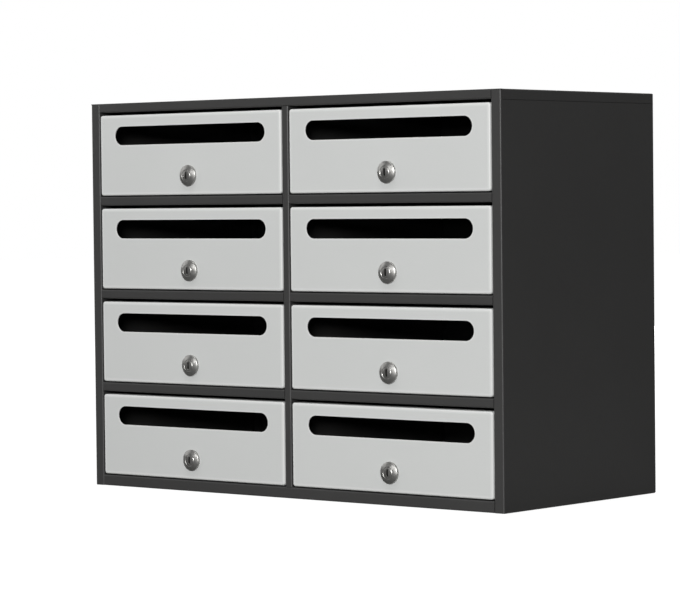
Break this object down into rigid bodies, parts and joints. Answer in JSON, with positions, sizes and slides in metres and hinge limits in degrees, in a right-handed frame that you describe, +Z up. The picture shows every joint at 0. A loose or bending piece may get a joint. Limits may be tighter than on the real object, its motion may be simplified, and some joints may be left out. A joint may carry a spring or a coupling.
{
  "type": "cluster mailbox unit",
  "caption": "Steel bank of stacked letterboxes: a folded dark case with lift-up pale doors, each with a rounded letter slot and a quarter-turn cam lock.",
  "frame": {"origin": "middle of the underside of the base, on the surface that the case stands on", "axes": "+X to the right seen from the front, +Y to the back, +Z up; the doors are at -Y"},
  "size_m": [0.6, 0.2855, 0.445],
  "materials": {
    "case_powder_coat": "satin charcoal powder coat",
    "door_powder_coat": "fine satin light grey powder coat",
    "lock_nickel": "bright nickel plate",
    "zinc_hardware": "clear zinc plate"
  },
  "bodies": {
    "case": {"top_panel": "case_powder_coat", "bottom_panel": "case_powder_coat", "left_side": "case_powder_coat", "right_side": "case_powder_coat", "back_panel": "case_powder_coat", "mullion": "case_powder_coat", "centre_divider": "case_powder_coat", "shelf_1": "case_powder_coat", "shelf_2": "case_powder_coat", "shelf_3": "case_powder_coat", "hinge_pins": "zinc_hardware"},
    "door_1_leaf": {"door_1": "door_powder_coat", "lock_housing_1": "lock_nickel", "lock_nut_1": "zinc_hardware"},
    "plug_1_turning": {"lock_plug_1": "lock_nickel", "lock_cam_1": "zinc_hardware", "cam_screw_1": "zinc_hardware"},
    "door_2_leaf": {"door_2": "door_powder_coat", "lock_housing_2": "lock_nickel", "lock_nut_2": "zinc_hardware"},
    "plug_2_turning": {"lock_plug_2": "lock_nickel", "lock_cam_2": "zinc_hardware", "cam_screw_2": "zinc_hardware"},
    "door_3_leaf": {"door_3": "door_powder_coat", "lock_housing_3": "lock_nickel", "lock_nut_3": "zinc_hardware"},
    "plug_3_turning": {"lock_plug_3": "lock_nickel", "lock_cam_3": "zinc_hardware", "cam_screw_3": "zinc_hardware"},
    "door_4_leaf": {"door_4": "door_powder_coat", "lock_housing_4": "lock_nickel", "lock_nut_4": "zinc_hardware"},
    "plug_4_turning": {"lock_plug_4": "lock_nickel", "lock_cam_4": "zinc_hardware", "cam_screw_4": "zinc_hardware"},
    "door_5_leaf": {"door_5": "door_powder_coat", "lock_housing_5": "lock_nickel", "lock_nut_5": "zinc_hardware"},
    "plug_5_turning": {"lock_plug_5": "lock_nickel", "lock_cam_5": "zinc_hardware", "cam_screw_5": "zinc_hardware"},
    "door_6_leaf": {"door_6": "door_powder_coat", "lock_housing_6": "lock_nickel", "lock_nut_6": "zinc_hardware"},
    "plug_6_turning": {"lock_plug_6": "lock_nickel", "lock_cam_6": "zinc_hardware", "cam_screw_6": "zinc_hardware"},
    "door_7_leaf": {"door_7": "door_powder_coat", "lock_housing_7": "lock_nickel", "lock_nut_7": "zinc_hardware"},
    "plug_7_turning": {"lock_plug_7": "lock_nickel", "lock_cam_7": "zinc_hardware", "cam_screw_7": "zinc_hardware"},
    "door_8_leaf": {"door_8": "door_powder_coat", "lock_housing_8": "lock_nickel", "lock_nut_8": "zinc_hardware"},
    "plug_8_turning": {"lock_plug_8": "lock_nickel", "lock_cam_8": "zinc_hardware", "cam_screw_8": "zinc_hardware"}
  },
  "joints": [
    {"name": "door_1_hinge", "type": "hinge", "parent": "case", "child": "door_1_leaf", "pos_m": [-0.14588, -0.132, 0.4212], "axis": [-1, 0, 0], "range_deg": [0, 105]},
    {"name": "lock_1_turn", "type": "hinge", "parent": "door_1_leaf", "child": "plug_1_turning", "pos_m": [-0.14588, -0.14, 0.36007], "axis": [0, 1, 0], "range_deg": [0, 90]},
    {"name": "door_2_hinge", "type": "hinge", "parent": "case", "child": "door_2_leaf", "pos_m": [0.14588, -0.132, 0.4212], "axis": [-1, 0, 0], "range_deg": [0, 105]},
    {"name": "lock_2_turn", "type": "hinge", "parent": "door_2_leaf", "child": "plug_2_turning", "pos_m": [0.14588, -0.14, 0.36007], "axis": [0, 1, 0], "range_deg": [0, 90]},
    {"name": "door_3_hinge", "type": "hinge", "parent": "case", "child": "door_3_leaf", "pos_m": [-0.14588, -0.132, 0.31307], "axis": [-1, 0, 0], "range_deg": [0, 105]},
    {"name": "lock_3_turn", "type": "hinge", "parent": "door_3_leaf", "child": "plug_3_turning", "pos_m": [-0.14588, -0.14, 0.25195], "axis": [0, 1, 0], "range_deg": [0, 90]},
    {"name": "door_4_hinge", "type": "hinge", "parent": "case", "child": "door_4_leaf", "pos_m": [0.14588, -0.132, 0.31307], "axis": [-1, 0, 0], "range_deg": [0, 105]},
    {"name": "lock_4_turn", "type": "hinge", "parent": "door_4_leaf", "child": "plug_4_turning", "pos_m": [0.14588, -0.14, 0.25195], "axis": [0, 1, 0], "range_deg": [0, 90]},
    {"name": "door_5_hinge", "type": "hinge", "parent": "case", "child": "door_5_leaf", "pos_m": [-0.14588, -0.132, 0.20495], "axis": [-1, 0, 0], "range_deg": [0, 105]},
    {"name": "lock_5_turn", "type": "hinge", "parent": "door_5_leaf", "child": "plug_5_turning", "pos_m": [-0.14588, -0.14, 0.14383], "axis": [0, 1, 0], "range_deg": [0, 90]},
    {"name": "door_6_hinge", "type": "hinge", "parent": "case", "child": "door_6_leaf", "pos_m": [0.14588, -0.132, 0.20495], "axis": [-1, 0, 0], "range_deg": [0, 105]},
    {"name": "lock_6_turn", "type": "hinge", "parent": "door_6_leaf", "child": "plug_6_turning", "pos_m": [0.14588, -0.14, 0.14383], "axis": [0, 1, 0], "range_deg": [0, 90]},
    {"name": "door_7_hinge", "type": "hinge", "parent": "case", "child": "door_7_leaf", "pos_m": [-0.14588, -0.132, 0.09682], "axis": [-1, 0, 0], "range_deg": [0, 105]},
    {"name": "lock_7_turn", "type": "hinge", "parent": "door_7_leaf", "child": "plug_7_turning", "pos_m": [-0.14588, -0.14, 0.0357], "axis": [0, 1, 0], "range_deg": [0, 90]},
    {"name": "door_8_hinge", "type": "hinge", "parent": "case", "child": "door_8_leaf", "pos_m": [0.14588, -0.132, 0.09682], "axis": [-1, 0, 0], "range_deg": [0, 105]},
    {"name": "lock_8_turn", "type": "hinge", "parent": "door_8_leaf", "child": "plug_8_turning", "pos_m": [0.14588, -0.14, 0.0357], "axis": [0, 1, 0], "range_deg": [0, 90]}
  ]
}
